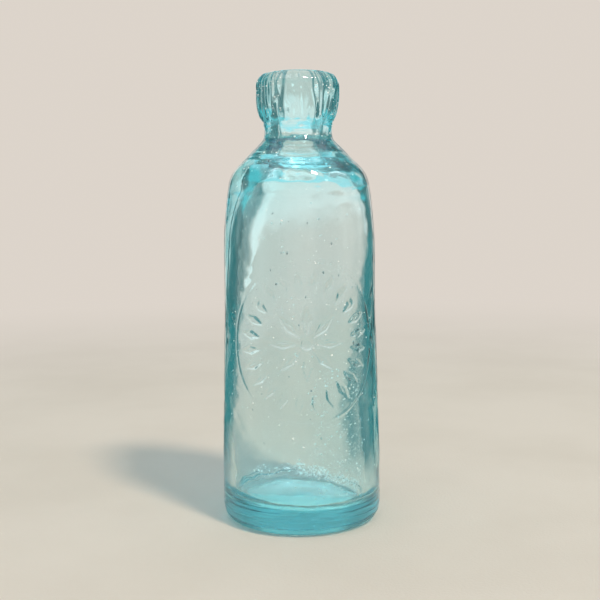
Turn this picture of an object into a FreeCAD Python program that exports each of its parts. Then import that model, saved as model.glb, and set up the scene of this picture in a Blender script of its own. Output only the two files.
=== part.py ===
"""A blob-lip soda bottle of thick aqua glass, blown in one piece. Millimetres, Z up, origin at the foot."""
import FreeCAD, Part
import math
import os

from FreeCAD import Vector

# Foot, heel and body
total_height = 168.8
base_diameter = 60.2         # straight band above the heel
body_diameter = 57.0         # straight part below the shoulder
heel_radius = 5.0
heel_band_height = 20.0
foot_ring_width = 1.6        # flat ring that the bottle stands on
push_up_height = 3.0         # hollow under the foot
straight_body_height = 16.0  # straight part below the shoulder

# Shoulder: two tangent arcs and a cone up to the neck
shoulder_slope = 44.7        # degrees of the cone from level
dome_lower_radius = 164.0    # nearly straight start of the shoulder's curve
dome_lower_turn = 9.6        # degrees that it turns through
dome_upper_radius = 12.0
neck_root_radius = 3.6
neck_length = 6.1            # from the crease under the lip down to the cone, carried on to the neck

# Bore, neck and tooled lip
bore_diameter = 15.6
neck_wall = 4.75
neck_flare_height = 3.4      # below the crease the neck widens to meet the lip
lip_root_step = 0.65         # the lip's crease stands this far outside the neck
lip_overhang = 3.05          # and its widest ring this far
lip_height = 18.4            # from its crease on the neck to the top
lip_upright_height = 2.1     # upright band at the widest ring
bore_above_crease = 2.6      # the straight bore ends here and the mouth opens
bore_below_crease = 12.8     # and here it opens into the hollow
mouth_flare = 1.3            # the mouth is this much wider than the bore, on each side
mouth_edge_radius = 0.8
crown_land_width = 0.2       # level ring at the very top

# Hollow of the body, which leans inside the straight outside, so the wall and floor are uneven
base_wall = 4.9              # mean thickness of the wall near the foot
body_wall = 4.2
floor_thickness = 8.4
floor_crown = 0.8            # rise of the floor's middle
floor_corner_radius = 5.5
hollow_lower_radius = 82.8   # start of the hollow's dome
hollow_lower_turn = 17.8
hollow_upper_radius = 9.0
hollow_top_depth = 17.6      # from the crease under the lip down to the dome's level top
hollow_lean = 2.7            # degrees to the right
lean_rise = 6.0              # the two axes cross this far above the hollow's middle

# Throat, where the bore opens into the hollow
throat_radius = 4.5
throat_slope = 20.0          # degrees from level at the foot of the curve
throat_turn = 74.0           # degrees up the dome at which the flare starts
throat_inset = 0.5           # the flare starts this far inside the dome

# Marks of the mould, slightly proud of the body
seam_proud = 0.2
seam_width = 0.5
heel_seam_rise = 1.2         # the base plate's seam runs this far above the heel
plate_radius = 29.0          # round name plate on the front, measured along the wall
plate_below_shoulder = 29.5
plate_aside = 2.3            # its centre is this far to the right, along the wall

# Raised ornament on the round plate
relief = 0.5
wreath_count = 24
wreath_inset = 7.6           # from the plate's rim in to the middle of the leaves
wreath_leaf_length = 8.2
wreath_leaf_width = 2.6
star_count = 8
star_gap = 1.1               # between the star's arms and its boss
star_leaf_length = 10.5
star_leaf_width = 3.2
boss_diameter = 4.0

# Sizes that follow from the ones above
base = base_diameter / 2
body = body_diameter / 2
bore = bore_diameter / 2
neck = bore + neck_wall
lip_root = neck + lip_root_step
lip = neck + lip_overhang
mouth = bore + mouth_flare
crown_radius = lip - mouth - mouth_edge_radius - crown_land_width
crease_height = total_height - lip_height
hollow_top_height = crease_height - hollow_top_depth
hollow_base = base - base_wall
hollow_body = body - body_wall


def point(radius, height):
    """A point of a section in the XZ plane."""
    return Vector(radius, 0, height)


def on_circle(centre, radius, angle):
    """A point of a circle in the XZ plane, its angle in degrees from +X towards +Z."""
    turn = math.radians(angle)
    return centre + Vector(radius * math.cos(turn), 0, radius * math.sin(turn))


def line(start, end):
    return Part.LineSegment(start, end).toShape()


def arc(centre, radius, first, last):
    middle = on_circle(centre, radius, (first + last) / 2)
    return Part.Arc(on_circle(centre, radius, first), middle, on_circle(centre, radius, last)).toShape()


def spin(edges):
    """A closed section turned once round the Z axis."""
    face = Part.Face(Part.Wire(edges))
    return face.revolve(Vector(0, 0, 0), Vector(0, 0, 1), 360)


def two_arc_dome(top, top_turn, upper_radius, lower_radius, lower_turn):
    """Foot and edges of two tangent arcs from an upright wall up to top, turned there by top_turn."""
    upper_centre = on_circle(top, -upper_radius, top_turn)
    joint = on_circle(upper_centre, upper_radius, lower_turn)
    lower_centre = on_circle(joint, -lower_radius, lower_turn)
    foot = on_circle(lower_centre, lower_radius, 0)
    return foot, [
        arc(lower_centre, lower_radius, 0, lower_turn),
        arc(upper_centre, upper_radius, lower_turn, top_turn),
    ]


def shoulder(proud):
    """The shoulder's foot, its dome, its cone's foot and where the cone meets the neck, grown by proud."""
    slope = math.radians(shoulder_slope)
    turn = 90 - shoulder_slope
    upper_radius = dome_upper_radius + proud
    lower_radius = dome_lower_radius + proud
    inset = upper_radius * (math.cos(math.radians(dome_lower_turn)) - math.cos(math.radians(turn)))
    inset += lower_radius * (1 - math.cos(math.radians(dome_lower_turn)))
    corner_rise = proud * (1 - math.sin(slope)) / math.cos(slope)
    corner = point(neck + proud, crease_height - neck_length + corner_rise)
    cone_foot_radius = body + proud - inset
    cone_foot = point(cone_foot_radius, corner.z - (cone_foot_radius - corner.x) * math.tan(slope))
    wall_head, dome = two_arc_dome(cone_foot, turn, upper_radius, lower_radius, dome_lower_turn)
    return wall_head, dome, cone_foot, corner


def outside_body(proud):
    """Edges of the outside from the heel to the crease under the lip, grown outwards by proud."""
    wall_head, dome, cone_foot, corner = shoulder(proud)
    heel_centre = point(base - heel_radius, heel_radius)
    heel_head = point(base + proud, heel_radius)
    taper_foot = point(base + proud, heel_radius + heel_band_height)
    taper_head = wall_head - Vector(0, 0, straight_body_height)
    # The root's circle touches both the cone and the neck
    turn = 90 - shoulder_slope
    root_radius = neck_root_radius - proud
    root_rise = root_radius * math.tan(math.radians(turn) / 2)
    root_centre = point(corner.x + root_radius, corner.z + root_rise)
    root_foot = on_circle(root_centre, root_radius, 180 + turn)
    root_head = point(corner.x, root_centre.z)
    neck_head = point(corner.x, crease_height - neck_flare_height)
    crease = point(lip_root + proud, crease_height)
    return [
        arc(heel_centre, heel_radius + proud, -90, 0),
        line(heel_head, taper_foot),
        line(taper_foot, taper_head),
        line(taper_head, wall_head),
        *dome,
        line(cone_foot, root_foot),
        arc(root_centre, root_radius, 180 + turn, 180),
        line(root_head, neck_head),
        line(neck_head, crease),
    ]


def lip_and_mouth():
    """Edges from the crease over the lip and down the straight bore to its foot."""
    # The lip's side is an arc that stands upright where it reaches the widest ring
    rise = lip_height - crown_radius - lip_upright_height
    step = lip - lip_root
    side_radius = (rise ** 2 + step ** 2) / (2 * step)
    side_turn = math.degrees(math.asin(rise / side_radius))
    side_centre = point(lip - side_radius, crease_height + rise)
    crown_centre = point(lip - crown_radius, total_height - crown_radius)
    edge_centre = point(mouth + mouth_edge_radius, total_height - mouth_edge_radius)
    bore_head = point(bore, crease_height + bore_above_crease)
    bore_foot = point(bore, crease_height - bore_below_crease)
    return [
        arc(side_centre, side_radius, -side_turn, 0),
        line(point(lip, side_centre.z), point(lip, crown_centre.z)),
        arc(crown_centre, crown_radius, 0, 90),
        line(point(crown_centre.x, total_height), point(edge_centre.x, total_height)),
        arc(edge_centre, mouth_edge_radius, 90, 180),
        line(point(mouth, edge_centre.z), bore_head),
        line(bore_head, bore_foot),
    ]


def throat_curve():
    """The curve by which the bore opens, and its lower end."""
    centre = point(bore + throat_radius, crease_height - bore_below_crease)
    last = 270 - throat_slope
    return arc(centre, throat_radius, 180, last), on_circle(centre, throat_radius, last)


def solid_bottle():
    """The bottle bored down to the throat, its body still solid."""
    push_up = point(0, push_up_height)
    ring_inner = point(base - heel_radius - foot_ring_width, 0)
    ring_outer = point(base - heel_radius, 0)
    curve, flare = throat_curve()
    plug = point(0, flare.z)
    return spin([
        line(push_up, ring_inner),
        line(ring_inner, ring_outer),
        *outside_body(0),
        *lip_and_mouth(),
        curve,
        line(flare, plug),
        line(plug, push_up),
    ])


def proud_body(proud):
    """The body's outside grown by proud, solid to the axis, from the heel to the crease."""
    foot = point(base - heel_radius, -proud)
    head = point(lip_root + proud, crease_height)
    return spin([
        *outside_body(proud),
        line(head, point(0, head.z)),
        line(point(0, head.z), point(0, foot.z)),
        line(point(0, foot.z), foot),
    ])


def lean(shape):
    """Tips what belongs to the hollow away from the bottle's axis."""
    crossing = (floor_thickness + hollow_top_height) / 2 + lean_rise
    return shape.rotate(point(0, crossing), Vector(0, 1, 0), hollow_lean)


def hollow_dome():
    """The hollow's dome: its foot on the wall, its edges and the rim of its level top."""
    turn = math.radians(hollow_lower_turn)
    reach = hollow_upper_radius * math.cos(turn) + hollow_lower_radius * (1 - math.cos(turn))
    rim = point(hollow_body - reach, hollow_top_height)
    foot, edges = two_arc_dome(rim, 90, hollow_upper_radius, hollow_lower_radius, hollow_lower_turn)
    return foot, edges, rim


def body_hollow():
    """The blown hollow: crowned floor, rounded corner, tapering wall and dome, leaning as one."""
    dome_foot, dome, rim = hollow_dome()
    corner_centre = point(hollow_base - floor_corner_radius, floor_thickness + floor_corner_radius)
    corner_head = point(hollow_base, corner_centre.z)
    floor_middle = point(0, floor_thickness + floor_crown)
    floor_rim = point(corner_centre.x, floor_thickness)
    taper_foot = point(hollow_base, heel_radius + heel_band_height)
    taper_head = dome_foot - Vector(0, 0, straight_body_height)
    top = point(0, hollow_top_height)
    return lean(spin([
        line(floor_middle, floor_rim),
        arc(corner_centre, floor_corner_radius, -90, 0),
        line(corner_head, taper_foot),
        line(taper_foot, taper_head),
        line(taper_head, dome_foot),
        *dome,
        line(rim, top),
        line(top, floor_middle),
    ]))


def throat_flare():
    """The slanting cone from the bore, true to the axis, to the leaning dome."""
    _, flare = throat_curve()
    _, _, rim = hollow_dome()
    dome_centre = rim - Vector(0, 0, hollow_upper_radius)
    meeting = on_circle(dome_centre, hollow_upper_radius, throat_turn)
    upper = Part.makeCircle(flare.x, point(0, flare.z))
    lower = lean(Part.makeCircle(meeting.x - throat_inset, point(0, meeting.z)))
    return Part.makeLoft([Part.Wire(lower), Part.Wire(upper)], True, True)


def side_seams():
    """Where the mould's halves met: a thin rib up both sides, from the heel's seam to the neck."""
    length = 2 * (base + seam_proud)
    foot = heel_radius + heel_seam_rise
    corner = Vector(-length / 2, -seam_width / 2, foot)
    plate = Part.makeBox(length, seam_width, crease_height - foot, corner)
    clear_of_bore = Part.makeCylinder(neck - seam_width, crease_height)
    return proud_body(seam_proud).common(plate).cut(clear_of_bore)


def heel_seam():
    """Where the base plate met the mould: a thin ring above the heel."""
    middle = heel_radius + heel_seam_rise
    crest = base + seam_proud
    low = point(base - seam_width, middle - seam_width)
    low_crest = point(crest, middle - seam_width / 4)
    high_crest = point(crest, middle + seam_width / 4)
    high = point(base - seam_width, middle + seam_width)
    return spin([line(low, low_crest), line(low_crest, high_crest), line(high_crest, high), line(high, low)])


def pushed_out(wire):
    """An upright outline in the XZ plane, pushed from the middle of the wall out past it, towards -Y."""
    wire.translate(Vector(0, -(hollow_body - body_wall / 2), 0))
    return Part.Face(wire).extrude(Vector(0, -base, 0))


def on_plate(shape, along, up):
    """Moves a shape made at the front along the wall and up from the plate's centre."""
    wall_head, _, _, _ = shoulder(0)
    shape.rotate(Vector(0, 0, 0), Vector(0, 0, 1), math.degrees((plate_aside + along) / body))
    shape.translate(Vector(0, 0, wall_head.z - plate_below_shoulder + up))
    return shape


def plate_seam():
    """The rim of the round plate, a circle wrapped on the wall."""
    rims = []
    for radius in (plate_radius + seam_width / 2, plate_radius - seam_width / 2):
        half_width = body * math.sin(radius / body)
        ellipse = Part.Wire(Part.Ellipse(Vector(0, 0, 0), radius, half_width).toShape())
        ellipse.rotate(Vector(0, 0, 0), Vector(0, 0, 1), 90)
        ellipse.rotate(Vector(0, 0, 0), Vector(1, 0, 0), 90)
        rims.append(pushed_out(ellipse))
    return on_plate(rims[0].cut(rims[1]), 0, 0)


def leaf(radius, angle, length, width):
    """One lozenge of the ornament, its long way pointing at the plate's centre."""
    turn = math.radians(angle)
    corners = []
    for out, aside in ((length, 0), (0, width), (-length, 0), (0, -width), (length, 0)):
        x = (out * math.sin(turn) + aside * math.cos(turn)) / 2
        z = (out * math.cos(turn) - aside * math.sin(turn)) / 2
        corners.append(point(x, z))
    return on_plate(pushed_out(Part.makePolygon(corners)), radius * math.sin(turn), radius * math.cos(turn))


def ornament():
    """A wreath of lozenges round a star with a round boss."""
    wreath_radius = plate_radius - wreath_inset
    star_radius = boss_diameter / 2 + star_gap + star_leaf_length / 2
    shapes = []
    for index in range(wreath_count):
        angle = 360 * (index + 0.5) / wreath_count
        shapes.append(leaf(wreath_radius, angle, wreath_leaf_length, wreath_leaf_width))
    for index in range(star_count):
        angle = 360 * index / star_count
        shapes.append(leaf(star_radius, angle, star_leaf_length, star_leaf_width))
    boss = Part.makeCircle(boss_diameter / 2, Vector(0, 0, 0), Vector(0, 1, 0))
    shapes.append(on_plate(pushed_out(Part.Wire(boss)), 0, 0))
    return shapes


def make_bottle():
    raised = proud_body(relief)
    marks = [side_seams(), heel_seam(), proud_body(seam_proud).common(plate_seam())]
    marks += [raised.common(shape) for shape in ornament()]
    hollow = body_hollow().fuse(throat_flare())
    return solid_bottle().fuse(marks).cut(hollow).removeSplitter()


def main():
    os.makedirs("parts", exist_ok=True)
    bottle = make_bottle()
    print("solids", len(bottle.Solids), "valid", bottle.isValid(), "cm3", round(bottle.Volume / 1000, 1))
    bottle.exportStep("parts/bottle.step")


main()
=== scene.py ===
import math

import bmesh
import bpy
import numpy as np
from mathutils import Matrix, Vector


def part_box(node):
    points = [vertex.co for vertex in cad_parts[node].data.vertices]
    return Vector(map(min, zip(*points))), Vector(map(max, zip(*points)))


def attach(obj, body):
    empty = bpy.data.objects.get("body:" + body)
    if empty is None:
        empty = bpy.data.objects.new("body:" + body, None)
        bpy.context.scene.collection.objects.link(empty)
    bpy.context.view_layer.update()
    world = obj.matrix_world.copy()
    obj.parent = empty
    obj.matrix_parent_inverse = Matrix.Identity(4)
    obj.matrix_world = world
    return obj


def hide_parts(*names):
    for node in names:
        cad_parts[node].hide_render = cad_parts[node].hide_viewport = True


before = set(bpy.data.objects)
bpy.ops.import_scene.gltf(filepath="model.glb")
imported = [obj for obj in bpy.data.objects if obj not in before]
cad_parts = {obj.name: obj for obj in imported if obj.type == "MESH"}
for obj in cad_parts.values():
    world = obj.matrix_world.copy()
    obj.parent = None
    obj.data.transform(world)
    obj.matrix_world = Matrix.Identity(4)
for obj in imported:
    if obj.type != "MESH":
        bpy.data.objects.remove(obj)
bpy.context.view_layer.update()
mm = 0.001
scene = bpy.context.scene

print("stage 1: camera, lamps and floor")

view = dict(place=(0.00045, -0.380, 0.1235), pitch=84.0, roll=0.6, lens=60.0)
cameraData = bpy.data.cameras.new("camera")
cameraData.lens = view["lens"]
camera = bpy.data.objects.new("camera", cameraData)
camera.location = view["place"]
camera.rotation_euler = (math.radians(view["pitch"]), math.radians(view["roll"]), 0)
scene.collection.objects.link(camera)
scene.camera = camera
scene.view_settings.view_transform = "Standard"
scene.cycles.max_bounces = 28  # thick glass passes light many times
scene.cycles.transmission_bounces = 28
scene.cycles.glossy_bounces = 12


def addLamp(name, place, aim, size, power, colour, passesGlass=False):
    lampData = bpy.data.lights.new(name, "AREA")
    lampData.shape = "DISK"
    lampData.size = size
    lampData.energy = power
    lampData.color = colour
    lamp = bpy.data.objects.new(name, lampData)
    lamp.location = place
    lamp.rotation_euler = (Vector(aim) - Vector(place)).to_track_quat("-Z", "Y").to_euler()
    scene.collection.objects.link(lamp)
    if passesGlass:
        lamp.light_linking.blocker_collection = shadowMakers


# The key is two lamps in one place: what thick glass stops, and the aqua light that it lets through.
# The second isn't blocked by the glass, so letThrough sets the shadow's colour.
shadowMakers = bpy.data.collections.new("shadowMakers")
keyColour = (1.0, 0.965, 0.91)
letThrough = (0.11, 0.28, 0.40)
keyPlace = dict(place=(1.14, -1.40, 2.55), aim=(0, 0, 0.07), size=0.46, power=57.0)
lamps = dict(
    key=dict(keyPlace, colour=[whole * (1 - share) for whole, share in zip(keyColour, letThrough)]),
    keyThroughGlass=dict(
        keyPlace, colour=[whole * share for whole, share in zip(keyColour, letThrough)], passesGlass=True,
    ),
    overhead=dict(place=(-0.6, -0.5, 2.4), aim=(0, 0, 0.05), size=1.3, power=7.0, colour=(0.93, 0.97, 1.0)),
)
for name, lamp in lamps.items():
    addLamp(name, **lamp)


class Wire:
    # a node's socket that takes Python's operators: each one adds a node
    def __init__(self, shader, socket):
        self.shader = shader
        self.socket = socket

    def work(self, operation, other, swapped=False):
        first, second = (other, self) if swapped else (self, other)
        if self.socket.type == "VECTOR":
            return self.shader.add("ShaderNodeVectorMath", dict(operation=operation), {0: first, 1: second})
        return self.shader.add("ShaderNodeMath", dict(operation=operation), {0: first, 1: second})

    def __add__(self, other):
        return self.work("ADD", other)

    def __radd__(self, other):
        return self.work("ADD", other, True)

    def __mul__(self, other):
        return self.work("MULTIPLY", other)

    def __rmul__(self, other):
        return self.work("MULTIPLY", other, True)

    def atMost(self, other):
        return self.work("MINIMUM", other)

    def atLeast(self, other):
        return self.work("MAXIMUM", other)

    def band(self, low, high, toLow=0.0, toHigh=1.0):
        # eased from toLow at low to toHigh at high
        values = {"Value": self, "From Min": low, "From Max": high, "To Min": toLow, "To Max": toHigh}
        return self.shader.add("ShaderNodeMapRange", dict(interpolation_type="SMOOTHSTEP"), values)


class Shader:
    def __init__(self, owner):
        owner.use_nodes = True
        self.tree = owner.node_tree
        self.tree.nodes.clear()

    def add(self, kind, settings=None, values=None, output=0):
        node = self.tree.nodes.new(kind)
        for key, value in (settings or {}).items():
            setattr(node, key, value)
        for key, value in (values or {}).items():
            if isinstance(value, Wire):
                self.tree.links.new(value.socket, node.inputs[key])
            else:
                node.inputs[key].default_value = value
        return Wire(self, node.outputs[output]) if len(node.outputs) else node

    def blend(self, factor, first, second):
        # the mix node's colour sockets are 6 and 7, and its colour output is 2
        return self.add("ShaderNodeMix", dict(data_type="RGBA"), {0: factor, 6: first, 7: second}, 2)


def seenThroughGlass(shader):
    # 1 for what is seen through the glass or in a gloss
    path = "ShaderNodeLightPath"
    return shader.add(path, output="Is Transmission Ray").atLeast(shader.add(path, output="Is Glossy Ray"))


def seenAtAll(shader):
    # 1 for what the camera sees, also through the glass or in a gloss; 0 where light only falls on a surface
    return shader.add("ShaderNodeLightPath", output="Is Camera Ray").atLeast(seenThroughGlass(shader))


# The pale backdrop that the camera sees all round, and how brightly it lights diffuse surfaces
backdrop = dict(colour=(0.72, 0.66, 0.596, 1.0), lit=0.36)
# What follows shows only in glosses and through the glass. The camera sees none of it directly, and the
# exported model doesn't carry it. The colours and heights were tuned to the photograph's front view.
# Painted reflections: the dark card shapes and coloured washes below are painted into the sky for the glass
# alone, so part of the glass's turquoise, its dark edges and its bright streaks is painted, not made by its own
# tint
paintedCards = dict(
    colour=(0.035, 0.16, 0.165, 1.0), onFloor=(0.03, 0.225, 0.235, 1.0), narrow=0.962, wide=0.885,
    near=0.05, far=0.18, front=0.35, turnFrom=-0.25, turnTo=0.15,
)
# low and high are heights in the sky, where 0 is the horizon and 1 straight up
washes = dict(
    pale=dict(colour=(0.93, 0.885, 0.83, 1.0), low=0.02, high=0.12),
    cool=dict(colour=(0.42, 0.90, 0.96, 1.0), low=0.29, high=0.40),
    corner=dict(colour=(0.09, 0.60, 0.64, 1.0), low=0.26, high=0.39),
    cornerTop=dict(colour=(0.22, 0.44, 0.45, 1.0), low=0.42, high=0.56),
    # a painted highlight: a bright strip in the sky that only the glass shows
    strip=dict(
        colour=(1.07, 1.05, 1.00, 1.0), low=0.16, high=0.30, starts=(0.930, 0.955), ends=(0.965, 0.985),
    ),
    zenith=dict(colour=(1.36, 1.42, 1.45, 1.0), low=0.62, high=0.84),
)


def facing(shader, direction):
    # 1 straight ahead, behind and to either side; least towards the four corners
    level = shader.add("ShaderNodeVectorMath", dict(operation="MULTIPLY"), {0: direction, 1: (1.0, 1.0, 0.0)})
    level = shader.add("ShaderNodeVectorMath", dict(operation="NORMALIZE"), {0: level})
    level = shader.add("ShaderNodeVectorMath", dict(operation="ABSOLUTE"), {0: level})
    across = shader.add("ShaderNodeSeparateXYZ", values={0: level}, output="X")
    deep = shader.add("ShaderNodeSeparateXYZ", values={0: level}, output="Y")
    return across.atLeast(deep)


def paintedCardCover(shader, direction):
    # 1 where the sky holds a painted dark card, at the two corners behind the bottle; less on the thin ones in
    # front
    unit = shader.add("ShaderNodeVectorMath", dict(operation="NORMALIZE"), {0: direction})
    deep = shader.add("ShaderNodeSeparateXYZ", values={0: unit}, output="Y")
    behind = deep.band(paintedCards["turnFrom"], paintedCards["turnTo"], paintedCards["front"], 1.0)
    return facing(shader, direction).band(paintedCards["wide"], paintedCards["narrow"], 1.0, 0.0) * behind


world = bpy.data.worlds.new("world")
scene.world = world
sky = Shader(world)
direction = sky.add("ShaderNodeTexCoord", output="Generated")
seen = seenAtAll(sky)
above = sky.add("ShaderNodeSeparateXYZ", values={0: direction}, output="Z")


def washOver(below, wash):
    return sky.blend(above.band(wash["low"], wash["high"]), below, wash["colour"])


wall = washOver(washOver(backdrop["colour"], washes["pale"]), washes["cool"])
corner = washOver(washOver(paintedCards["colour"], washes["corner"]), washes["cornerTop"])
straight = facing(sky, direction)
bright = washes["strip"]
strip = straight.band(*bright["starts"]) * straight.band(*bright["ends"], 1.0, 0.0)
strip = strip * above.band(bright["low"], bright["high"], 1.0, 0.0)
wall = sky.blend(paintedCardCover(sky, direction), wall, corner)
wall = sky.blend(strip, wall, bright["colour"])
wall = washOver(wall, washes["zenith"])
shown = sky.blend(seenThroughGlass(sky), backdrop["colour"], wall)
tone = sky.blend(seen, [backdrop["lit"]] * 3 + [1.0], shown)
light = sky.add("ShaderNodeBackground", values={"Color": tone, "Strength": 1.0})
sky.add("ShaderNodeOutputWorld", values={"Surface": light})

floorLook = dict(
    radius=6.0, drop=0.05 * mm, fadeFrom=0.20, fadeTo=0.80, colour=(0.74, 0.685, 0.60, 1.0),
    worn=(0.69, 0.635, 0.55, 1.0), gathered=(0.15, 0.38, 0.38, 1.0), spotFull=0.0215, spotEnd=0.026,
)


def floorMaterial(look):
    material = bpy.data.materials.new("paleFloor")
    shader = Shader(material)
    place = shader.add("ShaderNodeTexCoord", output="Object")
    cloud = shader.add("ShaderNodeTexNoise", values={"Vector": place, "Scale": 9.0, "Detail": 6.0})
    grit = shader.add("ShaderNodeTexNoise", values={"Vector": place, "Scale": 900.0, "Detail": 2.0})
    tone = shader.blend(cloud.band(0.35, 0.7), look["colour"], look["worn"])
    bump = shader.add("ShaderNodeBump", values={"Height": grit, "Strength": 0.25, "Distance": 0.0004})
    finish = {"Base Color": tone, "Roughness": 0.8, "Normal": bump}
    slab = shader.add("ShaderNodeBsdfPrincipled", values=finish)
    away = shader.add("ShaderNodeVectorMath", dict(operation="LENGTH"), {0: place}, "Value")
    fade = away.band(look["fadeFrom"], look["fadeTo"]) * seenAtAll(shader)
    sweep = shader.add("ShaderNodeEmission", values={"Color": backdrop["colour"]})
    bare = shader.add("ShaderNodeMixShader", values={0: fade, 1: slab, 2: sweep})
    # painted reflection: a dark teal patch on the floor near the bottle that only the glass and glosses show,
    # which paints dark turquoise bands into the glass
    card = shader.add("ShaderNodeEmission", values={"Color": paintedCards["onFloor"]})
    paintedPatchMask = paintedCardCover(shader, place) * away.band(paintedCards["near"], paintedCards["far"]) * seenThroughGlass(shader)
    floorSeen = shader.add("ShaderNodeMixShader", values={0: paintedPatchMask, 1: bare, 2: card})
    # a glow in place of the light that the glass gathers on the floor under itself
    gathers = away.band(look["spotFull"], look["spotEnd"], 1.0, 0.0)
    spot = shader.add("ShaderNodeEmission", values={"Color": look["gathered"], "Strength": gathers})
    both = shader.add("ShaderNodeAddShader", values={0: floorSeen, 1: spot})
    shader.add("ShaderNodeOutputMaterial", values={"Surface": both})
    return material


bpy.ops.mesh.primitive_circle_add(
    vertices=96, radius=floorLook["radius"], fill_type="NGON", location=(0, 0, -floorLook["drop"]),
)
floor = bpy.context.object
floor.name = "floor"
floor.data.materials.append(floorMaterial(floorLook))
shadowMakers.objects.link(floor)

print("stage 2: the glass's form")

# The glass, in millimetres, measured out from the axis and up from the foot
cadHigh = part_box("bottle")[1]
bottle = dict(
    top=cadHigh[2] / mm, base=30.1, body=28.5, heel=5.0, footRing=1.6, pushUp=3.0, heelBand=20.0, straight=16.0,
    slope=44.7, lowerRadius=164.0, lowerTurn=9.6, upperRadius=12.0, root=3.6, neckLength=6.1,
    bore=7.8, neckWall=4.75, flare=3.4, lipRoot=0.65, overhang=3.05, lipHeight=18.4, lipUpright=2.1,
    boreAbove=2.6, boreBelow=12.8, mouthFlare=1.3, mouthEdge=0.8, crownLand=0.2, lastRing=0.8,
)
hollow = dict(
    base=25.2, body=24.3, floor=8.4, floorCrown=0.8, corner=5.5, lowerRadius=82.8, lowerTurn=17.8,
    upperRadius=9.0, topDepth=17.6, lean=2.7, leanRise=6.0, throat=4.5, throatSlope=20.0, throatTurn=74.0,
    bend=2.4, bendHead=46.0, lastRing=0.6,
)
# How far apart the rings of points are on each stretch, in millimetres: closest where the form turns or
# carries relief. The two rises are how far the heel's and the lower body's own spacings go up.
spacing = dict(
    footRing=0.8, heel=0.55, heelTop=0.4, heelTopRise=8.0, heelBand=1.0, belowPlate=1.2, belowPlateRise=15.0,
    plate=0.44, straight=1.0, shoulder=1.2, cone=0.6, neck=0.5, lip=0.7, crown=0.6, land=0.5,
    mouth=0.4, boreHead=0.75, bore=0.8, throat=0.6, dome=0.5, domeSide=1.3, hollowSide=1.8, hollowFoot=1.6,
    hollowCorner=0.7, hollowFloor=1.3, pushUp=1.6,
)
throatRings = 9
crease = bottle["top"] - bottle["lipHeight"]
neck = bottle["bore"] + bottle["neckWall"]
lip = neck + bottle["overhang"]
mouth = bottle["bore"] + bottle["mouthFlare"]


class Path:
    # a run of points (out from the axis, up), with the way its right side faces
    def __init__(self, out, up):
        self.points = [(out, up)]

    def line(self, out, up, step):
        startOut, startUp = self.points[-1]
        count = max(1, round(math.hypot(out - startOut, up - startUp) / step))
        for share in np.linspace(0, 1, count + 1)[1:]:
            self.points.append((startOut + (out - startOut) * share, startUp + (up - startUp) * share))

    def arc(self, centreOut, centreUp, radius, first, last, step):
        count = max(2, round(radius * math.radians(abs(last - first)) / step))
        if math.dist(self.points[-1], circlePoint(centreOut, centreUp, radius, first)) > 0.01:
            self.line(*circlePoint(centreOut, centreUp, radius, first), step)
        for angle in np.linspace(first, last, count + 1)[1:]:
            self.points.append(circlePoint(centreOut, centreUp, radius, angle))

    def arrays(self):
        points = np.array(self.points)
        ahead = np.gradient(points, axis=0)
        normal = np.stack([ahead[:, 1], -ahead[:, 0]], axis=1)
        return points, normal / np.linalg.norm(normal, axis=1, keepdims=True)


def circlePoint(out, up, radius, angle):
    turn = math.radians(angle)
    return out + radius * math.cos(turn), up + radius * math.sin(turn)


def twoArcDome(out, up, topTurn, upperRadius, lowerRadius, lowerTurn):
    # centres of two tangent arcs that come down from (out, up), and the foot on the wall
    upperOut, upperUp = circlePoint(out, up, -upperRadius, topTurn)
    jointOut, jointUp = circlePoint(upperOut, upperUp, upperRadius, lowerTurn)
    lowerOut, lowerUp = circlePoint(jointOut, jointUp, -lowerRadius, lowerTurn)
    return (upperOut, upperUp), (lowerOut, lowerUp), lowerUp


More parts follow.
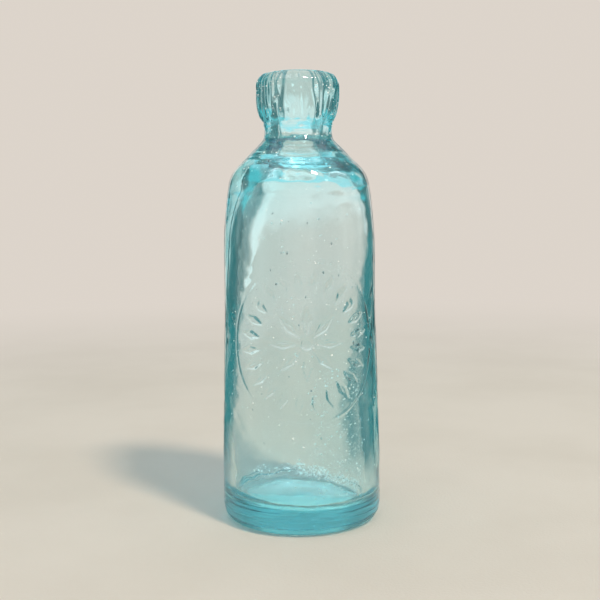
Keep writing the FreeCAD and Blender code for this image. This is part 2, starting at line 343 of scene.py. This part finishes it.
def outsidePath(size):
    slope = math.radians(size["slope"])
    turn = 90 - size["slope"]
    lowerTurn = math.radians(size["lowerTurn"])
    inset = size["upperRadius"] * (math.cos(lowerTurn) - math.cos(math.radians(turn)))
    inset += size["lowerRadius"] * (1 - math.cos(lowerTurn))
    coneFoot = size["body"] - inset
    coneFootUp = crease - size["neckLength"] - (coneFoot - neck) * math.tan(slope)
    arcs = size["upperRadius"], size["lowerRadius"], size["lowerTurn"]
    upper, lower, wallHead = twoArcDome(coneFoot, coneFootUp, turn, *arcs)
    rootUp = crease - size["neckLength"] + size["root"] * math.tan(math.radians(turn) / 2)
    path = Path(size["base"] - size["heel"] - size["footRing"], 0)
    path.line(size["base"] - size["heel"], 0, spacing["footRing"])
    path.arc(size["base"] - size["heel"], size["heel"], size["heel"], -90, 0, spacing["heel"])
    path.line(size["base"], size["heel"] + spacing["heelTopRise"], spacing["heelTop"])
    path.line(size["base"], size["heel"] + size["heelBand"], spacing["heelBand"])
    taperHead = wallHead - size["straight"]
    plateFoot = size["heel"] + size["heelBand"] + spacing["belowPlateRise"]
    share = (plateFoot - size["heel"] - size["heelBand"]) / (taperHead - size["heel"] - size["heelBand"])
    path.line(size["base"] + (size["body"] - size["base"]) * share, plateFoot, spacing["belowPlate"])
    path.line(size["body"], taperHead, spacing["plate"])
    path.line(size["body"], wallHead, spacing["straight"])
    path.arc(*lower, size["lowerRadius"], 0, size["lowerTurn"], spacing["shoulder"])
    path.arc(*upper, size["upperRadius"], size["lowerTurn"], turn, spacing["cone"])
    path.arc(neck + size["root"], rootUp, size["root"], 180 + turn, 180, spacing["neck"])
    path.line(neck, crease - size["flare"], spacing["neck"])
    path.line(neck + size["lipRoot"], crease, spacing["neck"])
    crown = lip - mouth - size["mouthEdge"] - size["crownLand"]
    rise = size["lipHeight"] - crown - size["lipUpright"]
    step = lip - neck - size["lipRoot"]
    sideRadius = (rise ** 2 + step ** 2) / (2 * step)
    sideTurn = math.degrees(math.asin(rise / sideRadius))
    path.arc(lip - sideRadius, crease + rise, sideRadius, -sideTurn, 0, spacing["lip"])
    path.line(lip, size["top"] - crown, spacing["lip"])
    path.arc(lip - crown, size["top"] - crown, crown, 0, 90, spacing["crown"])
    path.line(mouth + size["mouthEdge"], size["top"], spacing["land"])
    return path, wallHead


def borePath(size, inner):
    edge = size["mouthEdge"]
    path = Path(mouth + edge, size["top"])
    path.arc(mouth + edge, size["top"] - edge, edge, 90, 180, spacing["mouth"])
    path.line(size["bore"], crease + size["boreAbove"], spacing["boreHead"])
    path.line(size["bore"], crease - size["boreBelow"], spacing["bore"])
    throatOut = size["bore"] + inner["throat"]
    throatEnd = 270 - inner["throatSlope"]
    path.arc(throatOut, crease - size["boreBelow"], inner["throat"], 180, throatEnd, spacing["throat"])
    return path


def hollowPath(size, inner):
    turn = math.radians(inner["lowerTurn"])
    reach = inner["upperRadius"] * math.cos(turn) + inner["lowerRadius"] * (1 - math.cos(turn))
    top = crease - inner["topDepth"]
    arcs = inner["upperRadius"], inner["lowerRadius"], inner["lowerTurn"]
    upper, lower, domeFoot = twoArcDome(inner["body"] - reach, top, 90, *arcs)
    path = Path(*circlePoint(*upper, inner["upperRadius"], inner["throatTurn"]))
    path.arc(*upper, inner["upperRadius"], inner["throatTurn"], inner["lowerTurn"], spacing["dome"])
    path.arc(*lower, inner["lowerRadius"], inner["lowerTurn"], 0, spacing["domeSide"])
    path.line(inner["body"], domeFoot - size["straight"], spacing["hollowSide"])
    path.line(inner["base"], size["heel"] + size["heelBand"], spacing["hollowSide"])
    cornerUp = inner["floor"] + inner["corner"]
    path.line(inner["base"], cornerUp, spacing["hollowFoot"])
    path.arc(inner["base"] - inner["corner"], cornerUp, inner["corner"], 0, -90, spacing["hollowCorner"])
    path.line(inner["lastRing"], inner["floor"] + inner["floorCrown"], spacing["hollowFloor"])
    return path, (inner["floor"] + top) / 2 + inner["leanRise"]


def columnAngles():
    # close together over the embossed front and at the side seams; 0 looks to the front, 90 to the right
    # each run is its first angle, its last and its count of columns
    seam, narrow = 90.0, 2.4
    runs = [
        (-62, 62, 146), (62, seam - narrow, 12), (seam - narrow, seam + narrow, 8),
        (seam + narrow, 270 - narrow, 62), (270 - narrow, 270 + narrow, 8), (270 + narrow, 298, 12),
    ]
    angles = np.concatenate([np.linspace(first, last, count, endpoint=False) for first, last, count in runs])
    return np.radians(angles)


def ease(value, low, high):
    share = np.clip((value - low) / (high - low), 0, 1)
    return share * share * (3 - 2 * share)


def waves(kind, fade, azimuth, up):
    # a mix of waves, in millimetres, that closes on itself round the bottle
    random = np.random.default_rng(kind["seed"])
    fewest, most = kind["turns"]
    shortest, longest = kind["lengths"]
    total = np.zeros(np.broadcast(azimuth, up).shape)
    for _ in range(kind["count"]):
        around = random.integers(fewest, most + 1) * random.choice([-1, 1])
        length = math.exp(random.uniform(math.log(shortest), math.log(longest)))
        total += np.cos(around * azimuth + 2 * math.pi * up / length + random.uniform(0, 2 * math.pi))
    return fade * kind["height"] * (total / math.sqrt(kind["count"] / 2))


plate = dict(radius=29.0, belowShoulder=29.5, aside=2.3, proud=0.2, width=0.45, widest=75.0)
ornament = dict(
    relief=0.5, soft=0.38, leaves=24, inset=7.6, leafLength=8.2, leafWidth=2.6, arms=8, gap=1.1, armLength=10.5,
    armWidth=3.2, boss=2.0, vein=0.42, veinWidth=0.28, flank=0.92, widest=70.0,
)
seams = dict(proud=0.2, sideWidth=0.45, ringWidth=0.55, heelRise=1.2, heelFade=0.4, ringWander=0.25)


def leafHeight(along, across, length, width):
    # a pointed leaf: reach is 0 in its middle and 1 at its edge, and flank turns that into millimetres
    soft = ornament["soft"]
    reach = np.abs(along) / (length / 2) + np.abs(across) / (width / 2)
    edge = (1 - reach) * width / 2 * ornament["flank"]
    body = ease(edge, -soft / 2, soft / 2)
    return body * (1 - ornament["vein"] * np.exp(-(across / ornament["veinWidth"]) ** 2))


def ornamentHeight(aside, up):
    height = np.zeros(np.broadcast(aside, up).shape)
    ring = plate["radius"] - ornament["inset"]
    star = ornament["boss"] + ornament["gap"] + ornament["armLength"] / 2
    leafSize = ornament["leafLength"], ornament["leafWidth"]
    armSize = ornament["armLength"], ornament["armWidth"]
    sprigs = [(ring, (index + 0.5) / ornament["leaves"], *leafSize) for index in range(ornament["leaves"])]
    sprigs += [(star, index / ornament["arms"], *armSize) for index in range(ornament["arms"])]
    for radius, share, length, width in sprigs:
        turn = 2 * math.pi * share
        along = aside * math.sin(turn) + up * math.cos(turn) - radius
        across = aside * math.cos(turn) - up * math.sin(turn)
        height = np.maximum(height, leafHeight(along, across, length, width))
    away = np.hypot(aside, up)
    return np.maximum(height, ease(ornament["boss"] - away, -ornament["soft"] / 2, ornament["soft"] / 2))


# How uneven the blown and tooled glass is. A kind's height is in millimetres, its turns are waves round the
# bottle, and its lengths are how tall one wave is.
whittle = dict(height=0.035, seed=11, count=34, turns=(2, 16), lengths=(14, 60))
cold = dict(height=0.012, seed=12, count=40, turns=(6, 40), lengths=(3, 9))
tooling = dict(height=0.045, seed=13, count=26, turns=(0, 2), lengths=(1.1, 3.4))
lipStreaks = dict(height=0.10, seed=14, count=26, turns=(9, 34), lengths=(24, 90))
lipLumps = dict(height=0.13, seed=15, count=14, turns=(2, 7), lengths=(9, 30))
heelRings = dict(height=0.035, seed=16, count=14, turns=(0, 2), lengths=(1.3, 3.2))
insideWide = dict(height=0.11, seed=21, count=22, turns=(1, 5), lengths=(30, 110))
insideFine = dict(height=0.022, seed=22, count=30, turns=(3, 14), lengths=(9, 30))
boreStreaks = dict(height=0.07, seed=23, count=24, turns=(2, 12), lengths=(5, 26))
domeRings = dict(height=0.05, seed=24, count=26, turns=(0, 4), lengths=(2.6, 6.5))
domeLumps = dict(height=0.05, seed=25, count=30, turns=(3, 15), lengths=(6, 18))
outOfRound = 0.10
creaseCut = dict(depth=0.22, width=0.45)
# Heights between which a kind starts and ends
heelStarts, heelEnds = (5.0, 6.0), (10.5, 13)
neckStarts, domeStarts = (131, 136), (117, 127)


def outsideRelief(azimuth, up, wallHead):
    # millimetres proud of the turned form, all round (columns) and all the way up (rows)
    aside = azimuth * bottle["body"] - plate["aside"]
    above = up - (wallHead - plate["belowShoulder"])
    onWall = ease(up, bottle["heel"], bottle["heel"] + 4) * (1 - ease(up, crease - 2, crease))
    onFront = np.abs(azimuth) < math.radians(ornament["widest"])
    relief = ornament["relief"] * ornamentHeight(aside, above) * onFront
    rim = np.abs(np.hypot(aside, above) - plate["radius"])
    rimOnFront = np.abs(azimuth) < math.radians(plate["widest"])
    relief = np.maximum(relief, plate["proud"] * (1 - ease(rim, 0, plate["width"])) * rimOnFront)
    fromSeam = np.abs(np.abs(azimuth) - math.pi / 2) * bottle["body"]
    seamUp = bottle["heel"] + seams["heelRise"]
    aboveHeelSeam = ease(up, seamUp - seams["heelFade"], seamUp)
    ridge = seams["proud"] * (1 - ease(fromSeam, 0, seams["sideWidth"])) * aboveHeelSeam
    ridge = ridge * (1 - ease(up, crease - 5, crease - 2))
    heelSeam = seamUp + seams["ringWander"] * np.sin(azimuth * 2 + 1.0)
    ring = seams["proud"] * (1 - ease(np.abs(up - heelSeam), 0, seams["ringWidth"]))
    relief = np.maximum(relief, np.maximum(ridge, ring))
    relief = relief + onWall * outOfRound * np.cos(2 * azimuth + 0.6)
    relief += waves(whittle, onWall, azimuth, up)
    relief += waves(cold, onWall, azimuth, up)
    relief += waves(heelRings, ease(up, *heelStarts) * (1 - ease(up, *heelEnds)), azimuth, up)
    relief += waves(tooling, ease(up, *neckStarts) * (1 - ease(up, crease, crease + 2)), azimuth, up)
    onLip = ease(up, crease, crease + 2.5) * (1 - ease(up, bottle["top"] - 1.5, bottle["top"]))
    relief += waves(lipStreaks, onLip, azimuth, up)
    relief -= creaseCut["depth"] * np.exp(-((up - crease) / creaseCut["width"]) ** 2)
    return relief + waves(lipLumps, onLip, azimuth, up)


def insideRelief(azimuth, up):
    # how far the hollow's wall is pushed out from its turned form
    offFloor = ease(up, hollow["floor"] + 4, hollow["floor"] + 34)
    relief = waves(insideWide, offFloor, azimuth, up) + waves(insideFine, offFloor, azimuth, up)
    # the shoulder cooled last, so it is lumpy inside and ringed by the turning tool
    onDome = ease(up, *domeStarts)
    return relief + waves(domeRings, onDome, azimuth, up) + waves(domeLumps, onDome, azimuth, up)


def boreRelief(azimuth, up):
    return waves(boreStreaks, ease(bottle["top"] - up, 0.4, 3), azimuth, up)


def turnedRings(path, azimuth, relief):
    # one ring of points for each point of the path, moved along the path's normal by the relief
    points, normal = path.arrays()
    push = relief(azimuth[None, :], points[:, 1:2]) if relief else np.zeros((len(points), len(azimuth)))
    out = points[:, :1] + normal[:, :1] * push
    up = points[:, 1:2] + normal[:, 1:2] * push
    return np.stack([out * np.sin(azimuth), -out * np.cos(azimuth), np.broadcast_to(up, out.shape)], axis=2)


def bentBack(up):
    # near the foot the blown hollow comes back towards the bottle's middle
    return hollow["bend"] * (1 - ease(up, hollow["floor"], hollow["bendHead"]))


def leaned(rings, pivot):
    turn = math.radians(hollow["lean"])
    across, deep, up = rings[..., 0] + bentBack(rings[..., 2]), rings[..., 1], rings[..., 2] - pivot
    leanedAcross = across * math.cos(turn) + up * math.sin(turn)
    leanedUp = up * math.cos(turn) - across * math.sin(turn) + pivot
    return np.stack([leanedAcross, deep, leanedUp], axis=2)


class Skin:
    # collects rings of points and the faces between them
    def __init__(self):
        self.points = []
        self.faces = []
        self.count = 0

    def place(self, ring):
        start = self.count
        self.points.append(ring)
        self.count += len(ring)
        return np.arange(start, self.count)

    def strip(self, first, second):
        # quads between two rings of as many points
        for a, b, c, d in zip(first, np.roll(first, -1), np.roll(second, -1), second):
            self.faces.append((a, b, c, d))

    def halve(self, fine, coarse):
        # from a fine ring to one with half its points
        ahead = np.roll(coarse, -1)
        for index in range(len(coarse)):
            a, b, c = fine[2 * index], fine[2 * index + 1], fine[(2 * index + 2) % len(fine)]
            self.faces += [(a, b, coarse[index]), (b, ahead[index], coarse[index]), (b, c, ahead[index])]

    def close(self, ring, point):
        centre = self.place(np.array([point]))[0]
        for a, b in zip(ring, np.roll(ring, -1)):
            self.faces.append((a, b, centre))


def glassSkin():
    fine = columnAngles()
    coarse = fine[::2]
    outside, wallHead = outsidePath(bottle)
    skin = Skin()
    signed = np.where(fine > math.pi, fine - 2 * math.pi, fine)
    outRings = turnedRings(outside, signed, lambda azimuth, up: outsideRelief(azimuth, up, wallHead))
    foot = Path(bottle["base"] - bottle["heel"] - bottle["footRing"], 0)
    foot.line(bottle["lastRing"], bottle["pushUp"], spacing["pushUp"])
    footRings = turnedRings(foot, coarse, None)[1:]
    boreRings = turnedRings(borePath(bottle, hollow), coarse, boreRelief)[1:]
    inside, pivot = hollowPath(bottle, hollow)
    hollowRings = leaned(turnedRings(inside, coarse, insideRelief), pivot)
    # the throat: a straight-sided funnel from the bore's last ring to the dome's first
    shares = np.linspace(0, 1, throatRings + 2)[1:-1]
    funnel = [boreRings[-1] * (1 - share) + hollowRings[0] * share for share in shares]

    outIds = [skin.place(ring) for ring in outRings]
    footIds = [skin.place(ring) for ring in footRings]
    innerIds = [skin.place(ring) for ring in [*boreRings, *funnel, *hollowRings]]
    for first, second in zip(outIds, outIds[1:]):
        skin.strip(first, second)
    skin.halve(outIds[-1], innerIds[0])
    for first, second in zip(innerIds, innerIds[1:]):
        skin.strip(first, second)
    skin.close(innerIds[-1], leaned(np.array([[[0, 0, hollow["floor"] + hollow["floorCrown"]]]]), pivot)[0, 0])
    mirrored = outIds[0][::-1]
    skin.halve(np.roll(mirrored, 1), np.roll(footIds[0][::-1], 1))
    for first, second in zip(footIds, footIds[1:]):
        skin.strip(second, first)
    skin.close(footIds[-1][::-1], (0, 0, bottle["pushUp"]))
    return skin, outside, inside, pivot, (signed, outRings), (signed[::2], hollowRings)


seeds = dict(
    count=95, small=0.10, large=0.42, mostlySmall=3, stretch=(1.0, 2.6), heights=(22, 124), margin=2,
    depth=(0.35, 0.65), seed=31,
)


def addSeeds(skin, outside, inside, pivot):
    # bubbles in the wall: small closed skins whose faces look into the air inside
    random = np.random.default_rng(seeds["seed"])
    ball = bmesh.new()
    bmesh.ops.create_icosphere(ball, subdivisions=2, radius=1.0)
    ball.verts.ensure_lookup_table()
    corners = np.array([vert.co[:] for vert in ball.verts])
    faces = [tuple(vert.index for vert in face.verts)[::-1] for face in ball.faces]
    ball.free()
    outPoints = outside.arrays()[0]
    inPoints = inside.arrays()[0]
    low, high = seeds["heights"]
    wall = outPoints[(outPoints[:, 1] > low - seeds["margin"]) & (outPoints[:, 1] < high + seeds["margin"])]
    cavity = inPoints[::-1]
    for _ in range(seeds["count"]):
        up = random.uniform(low, high)
        azimuth = random.uniform(-math.pi, math.pi)
        outer = np.interp(up, wall[:, 1], wall[:, 0])
        shift = ((up - pivot) * math.tan(math.radians(hollow["lean"])) + bentBack(up)) * math.sin(azimuth)
        inner = np.interp(up, cavity[:, 1], cavity[:, 0]) + shift
        size = seeds["small"] + (seeds["large"] - seeds["small"]) * random.random() ** seeds["mostlySmall"]
        away = inner + (outer - inner) * random.uniform(*seeds["depth"])
        centre = np.array([away * math.sin(azimuth), -away * math.cos(azimuth), up])
        stretch = random.uniform(*seeds["stretch"])
        blob = corners * size * np.array([1, 1, stretch])
        ids = skin.place(centre + blob)
        skin.faces += [tuple(ids[corner] for corner in face) for face in faces]


skin, outside, inside, pivot, outerWall, innerWall = glassSkin()
addSeeds(skin, outside, inside, pivot)


def meshOf(name, made):
    mesh = bpy.data.meshes.new(name)
    faces = [tuple(int(corner) for corner in face) for face in made.faces]
    mesh.from_pydata(np.concatenate(made.points) * mm, [], faces)
    mesh.validate()
    return mesh


glassMesh = meshOf("blownGlass", skin)
glassMesh.polygons.foreach_set("use_smooth", [True] * len(glassMesh.polygons))
glass = bpy.data.objects.new("blownGlass", glassMesh)
scene.collection.objects.link(glass)
print("glass triangles", sum(len(face) - 2 for face in skin.faces))

print("stage 3: the glass's finish")

aqua = dict(
    tint=(0.12, 0.832, 0.885, 1.0), density=37.0, bendOfLight=1.52, polish=0.012, clear=0.975, wornFoot=0.38,
    chill=0.03, neckRings=0.10, scuffs=0.35, bloom=0.03, roughest=0.6,
)


def glassMaterial(look):
    material = bpy.data.materials.new("aquaGlass")
    shader = Shader(material)
    place = shader.add("ShaderNodeTexCoord", output="Object") * (1000.0, 1000.0, 1000.0)
    tall = place * (1.0, 1.0, 0.35)
    flat = place * (0.12, 0.12, 1.0)
    up = shader.add("ShaderNodeSeparateXYZ", values={0: place}, output="Z")
    # chill ripples from the cold mould, and finer rings where the neck was turned in the tool
    chill = shader.add("ShaderNodeTexNoise", values={"Vector": tall, "Scale": 0.20, "Detail": 2.0})
    turned = shader.add("ShaderNodeTexNoise", values={"Vector": flat, "Scale": 1.3, "Detail": 3.0})
    onNeck = up.band(131.0, 137.0) * up.band(crease + 6, crease, 0.0, 1.0)
    height = chill * look["chill"] + turned * onNeck * look["neckRings"]
    bump = shader.add("ShaderNodeBump", values={"Height": height, "Strength": 1.0, "Distance": mm})
    # scuffs where bottles rubbed in their crates, and a faint bloom of old wash water
    speck = shader.add("ShaderNodeTexNoise", values={"Vector": place, "Scale": 1.9, "Detail": 3.0})
    patch = shader.add("ShaderNodeTexNoise", values={"Vector": place, "Scale": 0.06, "Detail": 3.0})
    scuffs = speck.band(0.66, 0.74) * patch.band(0.46, 0.62)
    bloom = patch.band(0.50, 0.75) * look["bloom"]
    foot = up.band(3.6, 2.6) * look["wornFoot"]
    rough = (scuffs * look["scuffs"] + bloom + look["polish"] + foot).atMost(look["roughest"])
    surface = shader.add("ShaderNodeBsdfPrincipled", values={
        "Base Color": (1.0, 1.0, 1.0, 1.0), "Roughness": rough, "IOR": look["bendOfLight"],
        "Transmission Weight": look["clear"], "Normal": bump,
    })
    through = dict(Color=look["tint"], Density=look["density"])
    inside = shader.add("ShaderNodeVolumeAbsorption", values=through)
    shader.add("ShaderNodeOutputMaterial", values={"Surface": surface, "Volume": inside})
    return material


glassMesh.materials.append(glassMaterial(aqua))
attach(glass, "root")
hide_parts("bottle")

print("stage 4: dried grains on the glass")

# Where grains of lime and dust stick: degrees round from the front, millimetres up
grains = dict(
    seed=41, small=0.10, large=0.40, mostlySmall=2.2, ragged=(0.6, 1.0), stretch=(0.6, 1.6),
    lift=0.012, height=0.35, corners=6, glow=0.24,
)
grainFields = [
    dict(wall=innerWall, count=520, turn=(10, 66), up=(15, 62)),
    dict(wall=innerWall, count=900, turn=(96, 180), up=(9.4, 13.3)),
    dict(wall=innerWall, count=110, turn=(-180, -130), up=(9.6, 13)),
    dict(wall=innerWall, count=360, turn=(-180, 180), up=(18, 126)),
    dict(wall=outerWall, count=200, turn=(-72, 72), up=(20, 126)),
    dict(wall=outerWall, count=60, turn=(-82, -24), up=(152, 166)),
    dict(wall=outerWall, count=60, turn=(24, 82), up=(152, 166)),
    dict(wall=outerWall, count=90, turn=(-75, 75), up=(126, 150)),
]


def scattered(random, field):
    # places on a wall of rings, with the ways along it and off it, towards the side that isn't glass
    azimuths, rings = field["wall"]
    rings = np.asarray(rings)
    heights = rings[:, :, 2].mean(axis=1)
    low, high = field["up"]
    rows = np.flatnonzero((heights[:-1] > low) & (heights[:-1] < high))
    first, last = np.radians(field["turn"])
    columns = np.flatnonzero((azimuths > first) & (azimuths < last))
    row = random.choice(rows, field["count"])
    column = random.choice(columns, field["count"])
    beside = (column + 1) % rings.shape[1]
    across, along = random.random((2, field["count"], 1))
    ahead = rings[row + 1, column] - rings[row, column]
    aside = rings[row, beside] - rings[row, column]
    place = rings[row, column] + ahead * along + aside * across
    off = np.cross(aside, ahead)
    unit = [vector / np.linalg.norm(vector, axis=1, keepdims=True) for vector in (ahead, aside, off)]
    return place, *unit


def makeGrains():
    random = np.random.default_rng(grains["seed"])
    skin = Skin()
    angles = 2 * math.pi * np.arange(grains["corners"]) / grains["corners"]
    for field in grainFields:
        place, ahead, aside, off = scattered(random, field)
        for index in range(field["count"]):
            share = random.random() ** grains["mostlySmall"]
            size = grains["small"] + (grains["large"] - grains["small"]) * share
            reach = size * random.uniform(*grains["ragged"], len(angles))[:, None]
            stretch = random.uniform(*grains["stretch"])
            ground = place[index] + off[index] * grains["lift"]
            spread = np.cos(angles)[:, None] * aside[index] * stretch + np.sin(angles)[:, None] * ahead[index]
            rim = ground + reach * spread
            ids = skin.place(rim)
            top = skin.place((ground + off[index] * size * grains["height"])[None, :])[0]
            skin.faces.append(tuple(ids[::-1]))
            skin.faces += [(a, b, top) for a, b in zip(ids, np.roll(ids, -1))]
    return skin


def grainMaterial():
    # the slight glow stands in for the sunlight that reaches the grains through the glass
    material = bpy.data.materials.new("driedLime")
    shader = Shader(material)
    place = shader.add("ShaderNodeTexCoord", output="Object")
    cloud = shader.add("ShaderNodeTexNoise", values={"Vector": place, "Scale": 260.0, "Detail": 2.0})
    grit = shader.add("ShaderNodeTexNoise", values={"Vector": place, "Scale": 9000.0, "Detail": 2.0})
    tone = shader.blend(cloud.band(0.35, 0.65), (0.94, 0.95, 0.90, 1.0), (0.80, 0.86, 0.82, 1.0))
    bump = shader.add("ShaderNodeBump", values={"Height": grit, "Strength": 0.4, "Distance": 0.00003})
    surface = shader.add("ShaderNodeBsdfPrincipled", values={
        "Base Color": tone, "Roughness": cloud.band(0.3, 0.7, 0.65, 0.9), "Normal": bump,
        "Emission Color": (0.90, 0.96, 0.93, 1.0), "Emission Strength": grains["glow"],
    })
    shader.add("ShaderNodeOutputMaterial", values={"Surface": surface})
    return material


grainSkin = makeGrains()
grainMesh = meshOf("driedGrains", grainSkin)
grainMesh.materials.append(grainMaterial())
driedGrains = bpy.data.objects.new("driedGrains", grainMesh)
scene.collection.objects.link(driedGrains)
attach(driedGrains, "root")
